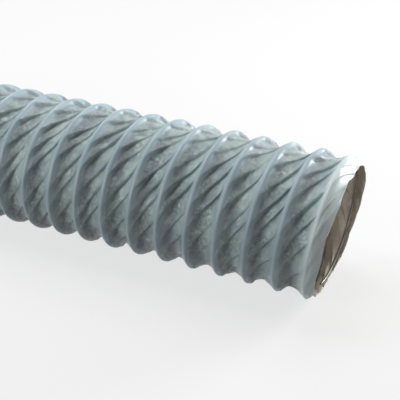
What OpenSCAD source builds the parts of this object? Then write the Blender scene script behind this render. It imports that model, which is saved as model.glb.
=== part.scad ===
// Flexible PVC duct: a soft corrugated film tube held open by one left-handed helix of steel wire.
// It lies along X with its coils on Z = 0, and its film is cut by hand at both ends, a little askew.
// All sizes are in millimetres.

/* [Duct] */
// Length of the piece of duct, along its top
duct_length = 1000; // [300:10:1300]
// Inside diameter between the coils of the wire, the size such duct is sold by
inside_d = 203; // [150:1:315]
// Distance from one coil of the wire to the next
coil_pitch = 43; // [34:0.5:60]
// Depth to which the slack film sags inwards between two coils
film_sag = 12; // [4:0.5:16]
// Share of the gap between two coils that the floor of the sag takes up
floor_share = 0.36; // [0.2:0.02:0.5]

/* [Film] */
// Thickness of the film
film_t = 0.5; // [0.3:0.05:1]

/* [Wire] */
// Thickness of the wire
wire_d = 2.4; // [1.6:0.1:3.2]
// Clearance between the wire and the film that lies over it
wire_gap = 0.1; // [0.05:0.05:0.3]

/* [Cut ends] */
// Film left past the free end of the wire, at the bottom of the duct
end_lip = 6; // [4:0.5:12]
// How much further than the bottom the top of the cut reaches
end_slant = 20; // [0:1:24]
// Turns at each end of the wire over which the cut coil leaves its helix and bends back
closed_turns = 0.4; // [0.3:0.05:0.8]
// Turns over which the pitch then comes up to its full value
easing_turns = 0.2; // [0.1:0.05:0.5]
// How far the free end of the wire has sprung back along the duct
end_back = 12; // [0:0.5:14]
// How far the free end of the wire has sprung inwards
end_inset = 9; // [0:0.5:12]
// Turns over which the free end of the wire bends inwards
inset_turns = 0.35; // [0.2:0.05:0.6]
// Drop of the loose edge of the film below the coils
edge_drop = 8; // [0:0.5:10]

/* [Hidden] */

// Flat facets round the duct, and round the wire
around = 24;
wire_sides = 5;
step_angle = 360 / around;
// Corners lie on a slightly larger circle, so that the facets' middles keep the true radius
flat_fit = 1 / cos(step_angle / 2);

// The wire's section has one flat side outwards, under the film
wire_r = wire_d / 2;
wire_corner_r = wire_r / cos(180 / wire_sides);
wire_half_width = wire_corner_r * sin(1.5 * 360 / wire_sides);

// Radius over the coils, and half the width of the film's crest, which clears the wire on both sides
crest_r = inside_d / 2 + wire_d + wire_gap + film_t;
crest_half = wire_half_width + wire_gap + film_t;
// The middle of the wire lies this far inside the outside of the film
wire_depth = film_t + wire_gap + wire_r;

// The wire has as many whole steps as fit between the two cuts
end_room = end_lip + end_slant - end_back;
lost_turns = closed_turns + easing_turns / 2;
wire_steps = floor(((duct_length - 2 * end_room) / coil_pitch + 2 * lost_turns) * around);
wire_turns = wire_steps / around;
wire_span = coil_pitch * (wire_turns - 2 * lost_turns);
wire_start = (duct_length - wire_span) / 2;
// Share of a turn over which the crest and the sag fade out past the end of the wire
fade_turns = 0.16;

// Turns from the nearer end of the wire, less than 0 past that end
function from_end(turns) = min(turns, wire_turns - turns);

// 1 where the wire carries the film, falling to 0 past either end of the wire
function held(turns) = max(0, min(1, 1 + from_end(turns) / fade_turns));

// Distance along the duct from the furthest reach of the wire, after a number of turns from its own end
function eased(turns) =
    turns < closed_turns ? end_back * (1 - turns / closed_turns) ^ 2 :
    turns < closed_turns + easing_turns ? coil_pitch * (turns - closed_turns) ^ 2 / (2 * easing_turns) :
    coil_pitch * (turns - lost_turns);

// Place along the duct of the coil at a number of turns, also of the coils that a longer duct would have
function coil_at(turns) =
    turns < 0 ? wire_start + coil_pitch * turns + end_back * held(turns) :
    turns > wire_turns ? wire_start + wire_span + coil_pitch * (turns - wire_turns) - end_back * held(turns) :
    turns < wire_turns / 2 ? wire_start + eased(turns) :
    wire_start + wire_span - eased(wire_turns - turns);

// 0 where the coil is round, rising to 1 at the free end of the wire, and back to 0 past it
function sprung(turns) =
    from_end(turns) > inset_turns ? 0 :
    from_end(turns) > 0 ? (1 - from_end(turns) / inset_turns) ^ 2 :
    held(turns);

function coil_radius(turns) = crest_r - end_inset * sprung(turns) - edge_drop * (1 - held(turns));

// The film sags less where two coils lie close, and not at all past the wire
function sag_radius(turns) =
    let (
        carried = min(held(turns), held(turns + 1)),
        closeness = min(1, (coil_at(turns + 1) - coil_at(turns)) / coil_pitch)
    )
    (coil_radius(turns) + coil_radius(turns + 1)) / 2 - film_sag * closeness * carried;

// Sideways shift of a corner that keeps a film of even thickness on the slope beside it
function miter(run, drop) = film_t * tan(atan2(drop, run) / 2);

// One wave of the film from the coil at a number of turns up to the next coil, as [along, radius] corners.
// inner is 0 for the outside of the film and 1 for its inside.
function wave(turns, inner) =
    let (
        here = coil_at(turns),
        next = coil_at(turns + 1),
        floor_half = floor_share * (next - here) / 2,
        middle = (here + next) / 2,
        run = middle - floor_half - here - crest_half,
        drop = coil_radius(turns) - sag_radius(turns),
        shift = inner * miter(run, drop),
        down = inner * film_t
    )
    [
        [here - crest_half + shift, coil_radius(turns) - down],
        [here + crest_half - shift, coil_radius(turns) - down],
        [middle - floor_half - shift, sag_radius(turns) - down],
        [middle + floor_half + shift, sag_radius(turns) - down]
    ];

wave_corners = 4;
// Waves before the start of the wire, which only the cut edges use
lead_waves = 2;
waves = ceil(wire_turns) + 2 * lead_waves;
rows = wave_corners * waves;

// Corners of the film along one straight line of the duct, from before its start to past its end
function film_line(column, inner) =
    [for (k = [0 : waves - 1]) each wave(k - lead_waves + column / around, inner)];

// Angle of a column from straight down. The wire ends just beside the lowest line of the duct.
function column_angle(column) = (column - wire_steps + 0.5) * step_angle;

// Places where the two cuts cross a column: they reach the full length at the top, and curve back to the bottom
function cut_back(column) = end_slant * abs(cos(column_angle(column) / 2)) ^ 3;
function start_cut(column) = cut_back(column);
function end_cut(column) = duct_length - cut_back(column);

// A corner nearer than this to a cut becomes part of its edge
cut_grain = 0.05;
// Row of the last corner before the start cut, and of the first one after the end cut
function low_row(line, cut) = max([for (i = [0 : rows - 1]) if (line[i][0] <= cut + cut_grain) i]);
function high_row(line, cut) = min([for (i = [0 : rows - 1]) if (line[i][0] >= cut - cut_grain) i]);

function place(along, radius, angle) = [
    along - duct_length / 2,
    -radius * flat_fit * sin(angle),
    crest_r - radius * flat_fit * cos(angle)
];

module duct_wall() {
    columns = [0 : around - 1];
    lines = [for (side = [0, 1]) [for (column = columns) film_line(column, side)]];
    lows = [for (side = [0, 1]) [for (column = columns) low_row(lines[side][column], start_cut(column))]];
    highs = [for (side = [0, 1]) [for (column = columns) high_row(lines[side][column], end_cut(column))]];

    // The corners past a cut move onto it
    function spot(line, row, column, low, high) =
        row <= low ? [start_cut(column), lookup(start_cut(column), line)] :
        row >= high ? [end_cut(column), lookup(end_cut(column), line)] :
        line[row];
    // One turn further round, a column is the first one again, a whole wave along
    function corner(side, column, row) =
        let (
            wrapped = column % around,
            moved = row + wave_corners * floor(column / around),
            kept = max(lows[side][wrapped], min(highs[side][wrapped], moved))
        )
        (side * around + wrapped) * rows + kept;
    function flip(face, side) = side == 0 ? face : [face[2], face[1], face[0]];
    function whole(face) = face[0] != face[1] && face[1] != face[2] && face[2] != face[0];

    points = [
        for (side = [0, 1]) for (column = columns) for (row = [0 : rows - 1])
            let (at = spot(lines[side][column], row, column, lows[side][column], highs[side][column]))
                place(at[0], at[1], column_angle(column))
    ];
    skins = [
        for (side = [0, 1]) for (column = columns) for (row = [0 : rows - 2])
            let (
                a = corner(side, column, row),
                b = corner(side, column, row + 1),
                c = corner(side, column + 1, row + 1),
                d = corner(side, column + 1, row)
            )
            for (face = [[a, b, c], [a, c, d]]) if (whole(face)) flip(face, side)
    ];
    rims = [
        for (far = [0, 1]) for (column = columns)
            let (
                row = far * (rows - 1 - wave_corners),
                a = corner(0, column, row),
                b = corner(1, column, row),
                c = corner(1, column + 1, row),
                d = corner(0, column + 1, row)
            )
            for (face = [[a, c, b], [a, d, c]]) flip(face, far)
    ];
    color([0.60, 0.68, 0.72]) polyhedron(points, concat(skins, rims));
}

module wire_helix() {
    points = [
        for (i = [0 : wire_steps])
            let (
                along = coil_at(i / around),
                radius = coil_radius(i / around) - wire_depth
            )
            for (k = [0 : wire_sides - 1])
                let (turn = (k + 0.5) * 360 / wire_sides)
                    place(along + wire_corner_r * sin(turn), radius + wire_corner_r * cos(turn), column_angle(i))
    ];
    skin = [
        for (i = [0 : wire_steps - 1]) for (k = [0 : wire_sides - 1])
            let (
                a = i * wire_sides + k,
                b = i * wire_sides + (k + 1) % wire_sides,
                c = b + wire_sides,
                d = a + wire_sides
            )
            each [[a, b, c], [a, c, d]]
    ];
    start = [for (k = [0 : wire_sides - 1]) wire_sides - 1 - k];
    end = [for (k = [0 : wire_sides - 1]) wire_steps * wire_sides + k];
    color([0.55, 0.56, 0.58]) polyhedron(points, concat(skin, [start, end]));
}

duct_wall();
wire_helix();
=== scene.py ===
# Looks of the flexible PVC duct: a soft creased film, folded over one left-handed helix of round steel wire.
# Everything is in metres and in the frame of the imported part: the duct lies along X on the floor at Z = 0.

import math

import bpy
import numpy as np
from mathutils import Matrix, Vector


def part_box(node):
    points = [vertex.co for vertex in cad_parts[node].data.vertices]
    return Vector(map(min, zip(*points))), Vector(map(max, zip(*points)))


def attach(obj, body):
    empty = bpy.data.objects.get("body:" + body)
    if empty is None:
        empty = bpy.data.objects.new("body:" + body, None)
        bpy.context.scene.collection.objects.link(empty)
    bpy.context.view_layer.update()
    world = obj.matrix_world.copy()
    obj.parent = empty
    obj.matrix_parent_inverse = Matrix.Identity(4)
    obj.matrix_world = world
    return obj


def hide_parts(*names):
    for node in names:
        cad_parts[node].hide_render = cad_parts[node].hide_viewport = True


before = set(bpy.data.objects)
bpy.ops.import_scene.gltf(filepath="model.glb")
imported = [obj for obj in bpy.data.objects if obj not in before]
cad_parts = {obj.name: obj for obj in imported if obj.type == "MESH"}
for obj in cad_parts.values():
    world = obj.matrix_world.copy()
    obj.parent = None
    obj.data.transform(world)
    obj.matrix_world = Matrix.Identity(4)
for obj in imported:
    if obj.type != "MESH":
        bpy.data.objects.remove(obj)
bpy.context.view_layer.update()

# Sizes of the duct, as in the part's source
film_low, film_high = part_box("duct_wall")
LENGTH = film_high[0] - film_low[0]
CREST_R = (film_high[2] - film_low[2]) / 2
PITCH = 0.043
SAG = 0.012
FILM_T = 0.0005
WIRE_R = 0.0012
WIRE_GAP = 0.0001
END_LIP = 0.006
END_SLANT = 0.020
END_BACK = 0.012
CLOSED_TURNS = 0.4
EASING_TURNS = 0.2
END_INSET = 0.009
INSET_TURNS = 0.35
EDGE_DROP = 0.008
FADE_TURNS = 0.16
STEPS_A_TURN = 24

# The wire's turns and its place along the duct, worked out as in the part's source
LOST_TURNS = CLOSED_TURNS + EASING_TURNS / 2
END_ROOM = END_LIP + END_SLANT - END_BACK
WIRE_STEPS = math.floor(((LENGTH - 2 * END_ROOM) / PITCH + 2 * LOST_TURNS) * STEPS_A_TURN)
WIRE_TURNS = WIRE_STEPS / STEPS_A_TURN
WIRE_SPAN = PITCH * (WIRE_TURNS - 2 * LOST_TURNS)
WIRE_START = -WIRE_SPAN / 2
END_ANGLE = math.pi / STEPS_A_TURN
WIRE_DEPTH = FILM_T + WIRE_GAP + WIRE_R

# The film's fold over the wire: its radius, its slope where it leaves the wire, and half its smooth band
CREST_ROUND = 0.0045
CREST_SLOPE = math.radians(50)
BAND_HALF = 0.0036
# Share by which the depth of the sag varies, and the height of the small crumples in it
SAG_VARIES = 0.10
CRUMPLE = 0.0009

# Pleats: sharp slanting creases that the slack film makes between two coils of the wire.
# The columns of the film's mesh run along them, close together beside a crease.
PLEATS = 19
COLUMNS = [0.0, 0.025, 0.055, 0.095, 0.16, 0.28, 0.46, 0.68, 0.88]
# How far a crease has moved round the duct, at shares of the way from one coil to the next
CREASE_WAY = [0.0, 0.06, 0.35, 0.88, 1.0]
CREASE_SHIFT = [0.0, 0.004, 0.031, 0.067, 0.074]
# The creases fade in and out at these shares of the way
CREASE_START = 0.05
CREASE_END = 0.91
# A crease is deepest in two stretches, under the coil that it leaves and up to the coil that it meets.
# It is shallow in the gap between them.
CREASE_GAP = 0.42
GAP_WIDTH = 0.09
GAP_SHALLOW = 0.80
GAP_TURN = 0.10
CREASE_DEPTH = 0.0052
# Least and greatest depth of a crease, as a share of the above, in its two stretches
UNDER_DEPTH = (0.60, 1.40)
UPTO_DEPTH = (0.25, 1.15)
# Least and greatest share of a pleat in which it rises from its crease, and how its fall is curved
UNDER_RISE = (0.05, 0.10)
UPTO_RISE = (0.06, 0.24)
FALL_POWER = 1.3
PLEAT_LEVEL = 0.6
# How far a crease lies beside its even place, and its second stretch beside its first, in pleats
CREASE_JITTER = 0.20
CREASE_BREAK = 0.05

# Rows of the film's mesh from one coil to the middle of the sag
HALF_ROWS = [0.0, 0.0019, 0.0038, 0.0062, 0.0095, 0.0145, 0.0215]
# Turns by which the film's mesh starts before the wire, and by which it is longer than the wire in all
MESH_LEAD = 2.2
MESH_SPARE = 3.4
SEED = 7

# The loose lip of film at each end curls inwards, most at one angle round the duct, and is painted pale:
# painted light, as if lit through the thin film
LIP_CURL = 0.009
LIP_CURL_VARIES = 0.35
LIP_REACH = 0.013
LIP_ANGLE = math.radians(185)
LIP_GLOW_REACH = 0.034
LIP_GLOW_GAIN = 1.6
# The cut edge is wavy. Its near side is a little shorter than its far side.
LIP_WAVE = 0.0015
CUT_TURNED = 0.005

# Faces round the wire, and its rings in each turn
WIRE_SIDES = 10
WIRE_RINGS = 108


def smooth(x):
    """Goes from 0 to 1 with level ends."""
    x = np.clip(x, 0.0, 1.0)
    return x * x * (3 - 2 * x)


def noise(across, along, seed):
    """Soft noise from about -1 to 1, with bumps one unit wide."""
    table = np.random.default_rng(seed).uniform(-1, 1, (256, 256))
    x, y = np.floor(across).astype(int), np.floor(along).astype(int)
    part_x, part_y = across - x, along - y
    part_x = part_x * part_x * (3 - 2 * part_x)
    part_y = part_y * part_y * (3 - 2 * part_y)
    x0, y0 = x % 256, y % 256
    x1, y1 = (x0 + 1) % 256, (y0 + 1) % 256
    low = table[x0, y0] * (1 - part_x) + table[x1, y0] * part_x
    high = table[x0, y1] * (1 - part_x) + table[x1, y1] * part_x
    return low * (1 - part_y) + high * part_y


def noise_round(angle, bumps, seed):
    """Noise that goes round the duct and meets itself."""
    return noise(np.cos(angle) * bumps + 9, np.sin(angle) * bumps + 9, seed)


# The helix of the wire, as functions of the turns from its start


def from_end(turns):
    """Turns from the nearer end of the wire, less than 0 past that end."""
    return np.minimum(turns, WIRE_TURNS - turns)


def held(turns):
    """1 where the wire carries the film, falling to 0 past either end of the wire."""
    return np.clip(1 + from_end(turns) / FADE_TURNS, 0.0, 1.0)


def eased(turns):
    """Distance along the duct from the furthest reach of the wire, at some turns from its own end."""
    back = END_BACK * (1 - turns / CLOSED_TURNS) ** 2
    bend = PITCH * (turns - CLOSED_TURNS) ** 2 / (2 * EASING_TURNS)
    straight = PITCH * (turns - LOST_TURNS)
    opened = np.where(turns < CLOSED_TURNS + EASING_TURNS, bend, straight)
    return np.where(turns < CLOSED_TURNS, back, opened)


def coil_at(turns):
    """Place of a coil along the duct, also of the coils that a longer duct would have."""
    start, end = WIRE_START, WIRE_START + WIRE_SPAN
    inside = np.where(turns < WIRE_TURNS / 2, start + eased(turns), end - eased(WIRE_TURNS - turns))
    back = END_BACK * held(turns)
    past = np.where(turns < 0, start + PITCH * turns + back, end + PITCH * (turns - WIRE_TURNS) - back)
    return np.where((turns < 0) | (turns > WIRE_TURNS), past, inside)


def coil_radius(turns):
    """Radius over a coil. Its free end has sprung inwards, and past it the loose edge of the film drops."""
    near = from_end(turns)
    bent = np.where(near > 0, (1 - near / INSET_TURNS) ** 2, held(turns))
    sprung = np.where(near > INSET_TURNS, 0.0, bent)
    return CREST_R - END_INSET * sprung - EDGE_DROP * (1 - held(turns))


def angle_at(turns):
    """Angle from straight down. It grows up the near side, over the top and down the far side."""
    return 2 * math.pi * (turns - WIRE_TURNS) + END_ANGLE


def place(along, radius, angle):
    """Points at a distance from the duct's axis."""
    return np.stack([along, -radius * np.sin(angle), CREST_R - radius * np.cos(angle)], -1)


# The film


def sag_share(reach):
    """Depth of the sag at a distance from the nearer coil, as a share of its depth halfway."""
    def depth(distance):
        edge = CREST_ROUND * math.sin(CREST_SLOPE)
        over_wire = CREST_ROUND - np.sqrt(np.maximum(CREST_ROUND ** 2 - np.minimum(distance, edge) ** 2, 0))
        free = np.maximum(distance - edge, 0.0)
        return over_wire + math.tan(CREST_SLOPE) * (free - free ** 2 / (PITCH - 2 * edge))
    return depth(reach) / depth(np.array(PITCH / 2))


def draw_each(pleat, spot, limits, seed):
    """A random number for each crease, going over evenly from one crease to the next."""
    each = np.random.default_rng(seed).uniform(limits[0], limits[1], pleat.max() + 2)
    return each[pleat] * (1 - spot) + each[pleat + 1] * spot


def film_lines():
    """The lines of the film's mesh, which run along the creases, and the rows in each wave of a line.

    For each point: its turns, its share of the way to the next coil, its pleat, its place in the pleat,
    and whether it lies before or past the gap in the creases.
    """
    share = np.array(HALF_ROWS + [PITCH - r for r in HALF_ROWS[-2:0:-1]]) / PITCH
    rows = len(share)
    advance = 1 + CREASE_SHIFT[-1] / (2 * math.pi * CREST_R)
    waves = math.ceil((WIRE_TURNS + MESH_SPARE) / advance)
    line, wave, row = np.meshgrid(
        np.arange(PLEATS * len(COLUMNS)), np.arange(waves), np.arange(rows), indexing="ij"
    )
    shape = (PLEATS * len(COLUMNS), waves * rows)
    pleat = line // len(COLUMNS) + PLEATS * wave
    column = line % len(COLUMNS)
    v = share[row]
    reach = np.minimum(v, 1 - v) * PITCH

    # Beside the coils the columns are evenly spaced, and in the sag they gather at the creases
    gather = smooth((reach - 0.2 * BAND_HALF) / (1.4 * BAND_HALF))
    even = column / len(COLUMNS)
    spot = even + (np.array(COLUMNS)[column] - even) * gather
    aside = draw_each(pleat, spot, (-CREASE_JITTER, CREASE_JITTER), SEED)
    broken = draw_each(pleat, spot, (-CREASE_BREAK, CREASE_BREAK), SEED + 1)
    past_gap = smooth((v - CREASE_GAP + GAP_TURN) / (2 * GAP_TURN))
    crease = pleat + spot + gather * (aside + broken * past_gap)
    lean = np.interp(v, CREASE_WAY, CREASE_SHIFT) / (2 * math.pi * CREST_R)
    turns = -MESH_LEAD + crease * advance / PLEATS + lean
    return [a.reshape(shape) for a in (turns, v, pleat, spot, past_gap)], rows


def pleat_relief(v, pleat, spot, past_gap):
    """Height of the pleats. From its crease each one rises steeply, and falls slowly towards the next."""
    under = draw_each(pleat, spot, UNDER_DEPTH, SEED + 3)
    upto = draw_each(pleat, spot, UPTO_DEPTH, SEED + 4)
    amount = under * (1 - past_gap) + upto * past_gap
    under = draw_each(pleat, spot, UNDER_RISE, SEED + 5)
    upto = draw_each(pleat, spot, UPTO_RISE, SEED + 6)
    rise = under * (1 - past_gap) + upto * past_gap
    fall = 1 - np.clip((spot - rise) / (1 - rise), 0, 1) ** FALL_POWER
    pillow = np.where(spot < rise, smooth(spot / rise), fall)
    stretch = smooth((v - CREASE_START) / 0.07) * smooth((CREASE_END - v) / 0.10)
    stretch *= 1 - GAP_SHALLOW * np.exp(-(((v - CREASE_GAP) / GAP_WIDTH) ** 2))
    return CREASE_DEPTH * (pillow - PLEAT_LEVEL) * amount * stretch


def lip_curl(angle, to_cut):
    """How far the loose lip has curled inwards, at a distance from the cut."""
    curl = LIP_CURL * np.abs(np.sin((angle - LIP_ANGLE + math.pi) / 2)) ** 3
    curl *= 1 + LIP_CURL_VARIES * noise_round(angle, 3, SEED + 9)
    return curl * smooth(1 - to_cut / LIP_REACH)


def cut_back(angle):
    """How far a hand-cut end stops short of the full length, at an angle round the duct."""
    turned = CUT_TURNED * np.sin(angle) + LIP_WAVE * noise_round(angle, 5, SEED + 10)
    return np.maximum(END_SLANT * np.abs(np.cos(angle / 2)) ** 3 + turned, 0.0)


def film_shape():
    """The film's outer points, their place along and round the duct, and what the material asks of them."""
    (turns, v, pleat, spot, past_gap), rows = film_lines()
    here, there = coil_at(turns), coil_at(turns + 1)
    along = here + (there - here) * v
    angle = angle_at(turns)
    reach = np.minimum(v, 1 - v) * PITCH
    share = sag_share(reach)

    # The film sags less where two coils lie close, and not at all past the wire
    carried = np.minimum(held(turns), held(turns + 1))
    closeness = np.minimum(1, (there - here) / PITCH)
    depth = SAG * (1 + SAG_VARIES * noise(turns * 9, v * 1.5, SEED + 2))
    radius = coil_radius(turns) * (1 - v) + coil_radius(turns + 1) * v - depth * closeness * carried * share
    radius += pleat_relief(v, pleat, spot, past_gap) * np.maximum(closeness, 0.5)

    # Small crumples of the slack film
    free = smooth((reach - 0.6 * BAND_HALF) / BAND_HALF)
    crumple = noise(turns * 61, v * 5 + turns * 17, SEED + 7)
    crumple += 0.6 * noise(turns * 107, v * 9 - turns * 31, SEED + 8)
    radius += CRUMPLE * crumple * free

    to_cut = LENGTH / 2 - cut_back(angle) - np.abs(along)
    radius -= lip_curl(angle, to_cut)
    looks = {
        "sag": share * free,
        # Mask of painted shade: the slack film's flank on the +X side of each coil
        "under": smooth((v - 0.03) / 0.08) * smooth((0.50 - v) / 0.25),
        # Mask of painted light: the pale glow through the film near the cut
        "lip": smooth(LIP_GLOW_GAIN * (1 - to_cut / LIP_GLOW_REACH)),
    }
    return place(along, radius, angle), along, angle, looks, rows


def grid_normals(points, rows):
    """Outward normals of the film's points, from the points beside them."""
    total = points.shape[1]
    ahead = np.empty_like(points)
    ahead[:-1] = points[1:]
    ahead[-1, :total - rows] = points[0, rows:]
    ahead[-1, total - rows:] = ahead[-1, total - rows - 1]
    behind = np.empty_like(points)
    behind[1:] = points[:-1]
    behind[0, rows:] = points[-1, :total - rows]
    behind[0, :rows] = behind[0, rows]
    normal = np.cross(np.roll(points, -1, 1) - np.roll(points, 1, 1), ahead - behind)
    normal /= np.maximum(np.linalg.norm(normal, axis=-1, keepdims=True), 1e-12)
    outward = points - np.array([0, 0, CREST_R])
    outward[..., 0] = 0
    return normal * np.sign((normal * outward).sum(-1, keepdims=True))


def cut_ends(skins, along, angle):
    """Moves the point of each line just past a cut onto it. Returns the first and last row of each line."""
    start = along - (-LENGTH / 2 + cut_back(angle))
    end = along - (LENGTH / 2 - cut_back(angle))
    low = (start > 0).argmax(1) - 1
    high = (end >= 0).argmax(1)
    each = np.arange(len(along))
    for skin in skins:
        t = (start[each, low] / (start[each, low] - start[each, low + 1]))[:, None]
        skin[each, low] += (skin[each, low + 1] - skin[each, low]) * t
        t = (end[each, high - 1] / (end[each, high - 1] - end[each, high]))[:, None]
        skin[each, high] = skin[each, high - 1] + (skin[each, high] - skin[each, high - 1]) * t
    return low, high


def film_faces(lines, total, rows, low, high):
    """Faces of the two skins and of the two cut edges, and the number of the material of each."""
    def index(side, line, row):
        """Number of a point. One turn further round, a line is the first one again, a whole wave along."""
        wrapped = line % lines
        moved = row + rows * (line // lines)
        return (side * lines + wrapped) * total + np.clip(moved, low[wrapped], high[wrapped])

    each = np.arange(lines)
    line, row = [a.ravel() for a in np.meshgrid(each, np.arange(total - 1), indexing="ij")]
    quads = []
    kinds = []
    for side in (0, 1):
        corners = [
            index(side, line, row),
            index(side, line, row + 1),
            index(side, line + 1, row + 1),
            index(side, line + 1, row),
        ]
        # The inside is split into triangles along the same diagonals as the outside, so they never cross
        order = [2, 1, 0, 3] if side else [0, 1, 2, 3]
        quads += np.stack([corners[c] for c in order], 1).tolist()
        kinds += [side] * len(line)
    for far in (0, 1):
        at = np.full(lines, far * (total - 1 - rows))
        corners = [index(0, each, at), index(1, each, at), index(1, each + 1, at), index(0, each + 1, at)]
        quads += np.stack(corners if far else corners[::-1], 1).tolist()
        kinds += [2] * lines

    # Faces whose corners have met on a cut are left out
    faces = []
    face_kinds = []
    for quad, kind in zip(quads, kinds):
        whole = [c for i, c in enumerate(quad) if c != quad[i - 1]]
        if len(whole) > 2 and len(set(whole)) == len(whole):
            faces.append(whole)
            face_kinds.append(kind)
    return faces, np.array(face_kinds)


def add_mesh(name, points, faces):
    mesh = bpy.data.meshes.new(name)
    mesh.from_pydata(points, [], faces)
    mesh.update()
    piece = bpy.data.objects.new(name, mesh)
    bpy.context.scene.collection.objects.link(piece)
    return piece


def make_film():
    outer, along, angle, looks, rows = film_shape()
    inner = outer - FILM_T * grid_normals(outer, rows)
    low, high = cut_ends((outer, inner), along, angle)
    lines, total = along.shape
    faces, kinds = film_faces(lines, total, rows, low, high)

    # The points that no face uses are left out
    used = sorted(set(c for face in faces for c in face))
    new = {c: i for i, c in enumerate(used)}
    points = np.concatenate([outer.reshape(-1, 3), inner.reshape(-1, 3)])[used]
    film = add_mesh("duct_film", points.tolist(), [[new[c] for c in face] for face in faces])
    mesh = film.data
    for material in (film_outside(), film_inside(), film_edge()):
        mesh.materials.append(material)
    mesh.polygons.foreach_set("material_index", kinds)
    mesh.polygons.foreach_set("use_smooth", kinds < 2)
    for name, values in looks.items():
        attribute = mesh.attributes.new(name, "FLOAT", "POINT")
        attribute.data.foreach_set("value", np.tile(values.ravel(), 2)[used].astype(np.float32))
    return film


# The wire


def make_wire():
    rings = round(WIRE_TURNS * WIRE_RINGS)
    turns = np.linspace(0, WIRE_TURNS, rings + 1)
    around = np.arange(WIRE_SIDES) * 2 * math.pi / WIRE_SIDES
    along = coil_at(turns)[:, None] + WIRE_R * np.sin(around)
    radius = (coil_radius(turns) - WIRE_DEPTH)[:, None] + WIRE_R * np.cos(around)
    points = place(along, radius, np.repeat(angle_at(turns)[:, None], WIRE_SIDES, 1)).reshape(-1, 3)
    faces = []
    for i in range(rings):
        for k in range(WIRE_SIDES):
            a, b = i * WIRE_SIDES + k, i * WIRE_SIDES + (k + 1) % WIRE_SIDES
            faces.append([a, b, b + WIRE_SIDES, a + WIRE_SIDES])
    faces.append([WIRE_SIDES - 1 - k for k in range(WIRE_SIDES)])
    faces.append([rings * WIRE_SIDES + k for k in range(WIRE_SIDES)])
    wire = add_mesh("wire_coil", points.tolist(), faces)
    wire.data.polygons.foreach_set("use_smooth", [True] * (len(faces) - 2) + [False] * 2)
    wire.data.materials.append(wire_steel())
    return wire


# Materials

BAND_DEEP = (0.40, 0.52, 0.58, 1)
BAND_PALE = (0.46, 0.58, 0.63, 1)
SLACK_DEEP = (0.46, 0.57, 0.60, 1)
SLACK_PALE = (0.58, 0.71, 0.69, 1)
# Painted shade: a dark brownish tint for the slack film's flank on the +X side of each coil, where it falls
# into shade
SLACK_PAINTED_SHADE = (0.36, 0.35, 0.38, 1)
# Painted light: the lip near the cut, near white as if glowing with light through the thin film
LIP_PAINTED_GLOW = (0.82, 0.94, 0.94, 1)
INSIDE_DEEP = (0.66, 0.61, 0.52, 1)
INSIDE_PALE = (0.82, 0.78, 0.68, 1)
INSIDE_BROWN = (0.46, 0.39, 0.30, 1)
EDGE_DEEP = (0.66, 0.66, 0.58, 1)
EDGE_PALE = (0.86, 0.86, 0.78, 1)
STEEL = (0.30, 0.29, 0.28, 1)
STEEL_GRIME = (0.14, 0.12, 0.10, 1)


class Nodes:
    """Short ways to add nodes to a material."""

    def __init__(self, name):
        self.material = bpy.data.materials.new(name)
        self.material.use_nodes = True
        self.tree = self.material.node_tree
        self.tree.nodes.clear()
        self.out = self.tree.nodes.new("ShaderNodeOutputMaterial")

    def add(self, kind, **values):
        node = self.tree.nodes.new(kind)
        for name, value in values.items():
            setattr(node, name, value)
        return node

    def link(self, start, end):
        self.tree.links.new(start, end)

    def put(self, socket, value):
        """Sets a socket, or links it if the value is another node's socket."""
        if isinstance(value, bpy.types.NodeSocket):
            self.link(value, socket)
        else:
            socket.default_value = value

    def attribute(self, name):
        return self.add("ShaderNodeAttribute", attribute_name=name).outputs["Fac"]

    def math(self, operation, a, b=0.0):
        node = self.add("ShaderNodeMath", operation=operation)
        self.put(node.inputs[0], a)
        self.put(node.inputs[1], b)
        return node.outputs[0]

    def mix(self, share, a, b):
        node = self.add("ShaderNodeMix", data_type="RGBA")
        self.put(node.inputs["Factor"], share)
        self.put(node.inputs["A"], a)
        self.put(node.inputs["B"], b)
        return node.outputs["Result"]

    def noise(self, scale, detail=3.0, roughness=0.5, distortion=0.0):
        """Noise fixed to the duct, with so many bumps a metre."""
        node = self.add("ShaderNodeTexNoise")
        node.inputs["Scale"].default_value = scale
        node.inputs["Detail"].default_value = detail
        node.inputs["Roughness"].default_value = roughness
        node.inputs["Distortion"].default_value = distortion
        self.link(self.add("ShaderNodeTexCoord").outputs["Object"], node.inputs["Vector"])
        return node.outputs["Fac"]

    def ramp(self, value, low, high, low_to=0.0, high_to=1.0):
        node = self.add("ShaderNodeMapRange", interpolation_type="SMOOTHSTEP")
        for name, number in (("From Min", low), ("From Max", high), ("To Min", low_to), ("To Max", high_to)):
            node.inputs[name].default_value = number
        self.put(node.inputs["Value"], value)
        return node.outputs["Result"]

    def bump(self, height, strength, distance, normal=None):
        node = self.add("ShaderNodeBump")
        node.inputs["Strength"].default_value = strength
        node.inputs["Distance"].default_value = distance
        self.link(height, node.inputs["Height"])
        if normal is not None:
            self.link(normal, node.inputs["Normal"])
        return node.outputs["Normal"]

    def shader(self, **values):
        node = self.add("ShaderNodeBsdfPrincipled")
        for name, value in values.items():
            self.put(node.inputs[name.replace("_", " ")], value)
        self.link(node.outputs[0], self.out.inputs["Surface"])
        return node


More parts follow.
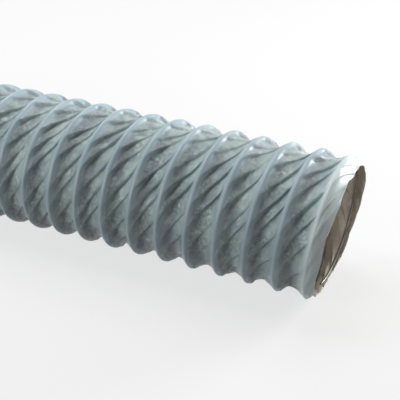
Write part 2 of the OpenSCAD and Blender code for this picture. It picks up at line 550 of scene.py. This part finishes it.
def film_outside():
    """Glossy blue-grey film: smooth over the wire, blotched and crinkled in the sag, with painted shade on
    the flank past each coil and painted light, a pale glow through the film, at the lip.
    """
    n = Nodes("film_outside")
    sag = n.attribute("sag")
    lip = n.attribute("lip")
    tint = n.noise(14.0, 4.0, 0.6)
    blotch = n.noise(38.0, 3.0, 0.6, 0.4)
    fine = n.noise(90.0, 4.0, 0.6)
    band = n.mix(n.ramp(tint, 0.35, 0.65), BAND_DEEP, BAND_PALE)
    slack = n.mix(n.ramp(blotch, 0.40, 0.62), SLACK_DEEP, SLACK_PALE)
    # Painted shade: the flank on the +X side of each coil is tinted dark brownish, mottled by the blotches
    flank_painted_shade = n.math("MULTIPLY", n.attribute("under"), n.ramp(blotch, 0.30, 0.62, 0.80, 0.15))
    slack = n.mix(flank_painted_shade, slack, SLACK_PAINTED_SHADE)
    colour = n.mix(n.ramp(sag, 0.15, 0.75), band, slack)
    # Painted light: near the cut the film is painted pale, as if lit through the thin film
    colour = n.mix(lip, colour, LIP_PAINTED_GLOW)

    # Fine crinkles, in patches of the slack film
    crumples = n.noise(105.0, 3.0, 0.55, 2.2)
    ridges = n.math("ABSOLUTE", n.math("SUBTRACT", crumples, 0.5))
    slack_share = n.math("MULTIPLY", n.ramp(sag, 0.1, 0.5), n.math("SUBTRACT", 1.0, lip))
    patches = n.math("MULTIPLY", n.ramp(n.noise(20.0, 2.0), 0.40, 0.56, 0.35, 1.0), slack_share)
    height = n.math("MULTIPLY", n.ramp(ridges, 0.0, 0.08), patches)
    normal = n.bump(height, 0.75, 0.0017)
    normal = n.bump(fine, 0.20, 0.0008, normal)
    n.shader(Base_Color=colour, Roughness=n.ramp(fine, 0.3, 0.7, 0.30, 0.42), Normal=normal)
    return n.material


def film_inside():
    """The film's inner face, taupe with brown blotches."""
    n = Nodes("film_inside")
    tint = n.noise(16.0, 4.0, 0.6)
    blotch = n.noise(45.0, 3.0, 0.6, 0.6)
    fine = n.noise(80.0, 4.0, 0.6)
    colour = n.mix(n.ramp(tint, 0.35, 0.65), INSIDE_DEEP, INSIDE_PALE)
    colour = n.mix(n.ramp(blotch, 0.45, 0.70, 0.0, 0.6), colour, INSIDE_BROWN)
    normal = n.bump(n.noise(60.0, 3.0, 0.55, 1.2), 0.5, 0.002)
    normal = n.bump(fine, 0.2, 0.0008, normal)
    n.shader(Base_Color=colour, Roughness=n.ramp(fine, 0.3, 0.7, 0.30, 0.44), Normal=normal)
    return n.material


def film_edge():
    """The raw cut edge of the film."""
    n = Nodes("film_edge")
    n.shader(Base_Color=n.mix(n.noise(300.0, 2.0), EDGE_DEEP, EDGE_PALE), Roughness=0.6)
    return n.material


def wire_steel():
    """Bare drawn spring wire with some grime."""
    n = Nodes("spring_wire")
    grime = n.noise(60.0, 4.0, 0.6)
    colour = n.mix(n.ramp(grime, 0.4, 0.7), STEEL, STEEL_GRIME)
    n.shader(Base_Color=colour, Metallic=0.9, Roughness=n.ramp(grime, 0.35, 0.7, 0.32, 0.55))
    return n.material


# The studio

FRAME_PIXELS = 400
FOCAL_PIXELS = 821.0
SENSOR_MM = 36.0
CAMERA_AZIMUTH = math.radians(23.46)
CAMERA_ELEVATION = math.radians(33.0)
CAMERA_DISTANCE = 1.191
# A point on the duct's axis, and how far right of and above the middle of the view it lies
SEEN_POINT = np.array([0.3, 0.0, CREST_R])
SEEN_RIGHT = 0.01824
SEEN_UP = 0.00111

# Half the floor's side. As the camera and reflections see it, it has a share of plain white beside the duct,
# and turns all white between two distances from the duct's middle.
FLOOR_HALF = 6.0
FLOOR_WHITE = 0.70
FLOOR_NEAR = 0.6
FLOOR_FAR = 2.0
# The little light that the floor gives back to the duct
FLOOR_BOUNCE = (0.10, 0.10, 0.11, 1)

LAMP_SIZE = 0.9
WHITE = (1.0, 1.0, 1.0)
WARM = (1.0, 0.95, 0.90)
DUCT_MIDDLE = (0.15, 0.0, 0.1)
OPEN_END = (0.45, 0.0, 0.1)
# Each lamp's name, place, aim, power and colour
LAMPS = [
    ("back_right", (1.45, 1.30, 0.59), DUCT_MIDDLE, 29.0, WHITE),
    ("front_left", (-1.15, -1.30, 0.59), DUCT_MIDDLE, 11.6, WHITE),
    ("high_left", (-0.65, 0.0, 1.82), DUCT_MIDDLE, 9.4, WHITE),
    ("high_back", (0.15, 0.80, 1.82), DUCT_MIDDLE, 8.5, WHITE),
    ("left_back", (-0.88, 1.03, 1.32), DUCT_MIDDLE, 7.4, WHITE),
    ("front_right", (1.80, -0.75, 0.45), OPEN_END, 3.0, WARM),
]


def make_camera():
    a, e = CAMERA_AZIMUTH, CAMERA_ELEVATION
    back = np.array([math.sin(a) * math.cos(e), -math.cos(a) * math.cos(e), math.sin(e)])
    right = np.array([math.cos(a), math.sin(a), 0.0])
    up = np.cross(back, right)
    data = bpy.data.cameras.new("camera")
    data.sensor_width = SENSOR_MM
    data.lens = SENSOR_MM * FOCAL_PIXELS / FRAME_PIXELS
    camera = bpy.data.objects.new("camera", data)
    camera.location = SEEN_POINT - SEEN_RIGHT * right - SEEN_UP * up + CAMERA_DISTANCE * back
    camera.rotation_euler = (math.pi / 2 - e, 0.0, a)
    bpy.context.scene.collection.objects.link(camera)
    bpy.context.scene.camera = camera


def make_lamp(name, at, aim, power, colour):
    data = bpy.data.lights.new(name, "AREA")
    data.shape = "DISK"
    data.size = LAMP_SIZE
    data.energy = power
    data.color = colour
    lamp = bpy.data.objects.new(name, data)
    lamp.location = at
    lamp.rotation_euler = (Vector(aim) - Vector(at)).to_track_quat("-Z", "Y").to_euler()
    bpy.context.scene.collection.objects.link(lamp)


def floor_paint():
    """Near white to the camera and to reflections, with the duct's shadow on it, and dark to other light."""
    n = Nodes("floor")
    path = n.add("ShaderNodeLightPath")
    seen = n.math("MAXIMUM", path.outputs["Is Camera Ray"], path.outputs["Is Glossy Ray"])
    grain = n.mix(n.noise(3.0), (0.93, 0.93, 0.93, 1), (0.95, 0.95, 0.95, 1))
    lit = n.shader(Base_Color=n.mix(seen, FLOOR_BOUNCE, grain), Roughness=0.9)
    white = n.add("ShaderNodeEmission")
    white.inputs["Strength"].default_value = 1.0
    blend = n.add("ShaderNodeMixShader")
    away = n.add("ShaderNodeVectorMath", operation="LENGTH")
    n.link(n.add("ShaderNodeTexCoord").outputs["Object"], away.inputs[0])
    whiteness = n.ramp(away.outputs["Value"], FLOOR_NEAR, FLOOR_FAR, FLOOR_WHITE, 1.0)
    n.put(blend.inputs["Fac"], n.math("MULTIPLY", seen, whiteness))
    n.link(lit.outputs[0], blend.inputs[1])
    n.link(white.outputs[0], blend.inputs[2])
    n.link(blend.outputs[0], n.out.inputs["Surface"])
    return n.material


def make_floor():
    corners = [(x * FLOOR_HALF, y * FLOOR_HALF, 0) for x, y in ((-1, -1), (1, -1), (1, 1), (-1, 1))]
    floor = add_mesh("floor", corners, [[0, 1, 2, 3]])
    floor.data.materials.append(floor_paint())


def make_world():
    """White to the camera and to reflections, and a faint cool light to everything else."""
    world = bpy.data.worlds.new("studio")
    bpy.context.scene.world = world
    world.use_nodes = True
    nodes, links = world.node_tree.nodes, world.node_tree.links
    nodes.clear()
    path = nodes.new("ShaderNodeLightPath")
    seen = nodes.new("ShaderNodeMath")
    seen.operation = "MAXIMUM"
    links.new(path.outputs["Is Camera Ray"], seen.inputs[0])
    links.new(path.outputs["Is Glossy Ray"], seen.inputs[1])
    mix = nodes.new("ShaderNodeMixShader")
    links.new(seen.outputs[0], mix.inputs["Fac"])
    for socket, colour, strength in ((1, (0.93, 0.97, 1.0, 1), 0.02), (2, (1, 1, 1, 1), 1.0)):
        light = nodes.new("ShaderNodeBackground")
        light.inputs["Color"].default_value = colour
        light.inputs["Strength"].default_value = strength
        links.new(light.outputs[0], mix.inputs[socket])
    out = nodes.new("ShaderNodeOutputWorld")
    links.new(mix.outputs[0], out.inputs["Surface"])


make_camera()
make_world()
make_floor()
for lamp in LAMPS:
    make_lamp(*lamp)
bpy.context.scene.view_settings.view_transform = "Standard"

film = make_film()
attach(film, "root")
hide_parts("duct_wall")

wire = make_wire()
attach(wire, "root")
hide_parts("wire_helix")
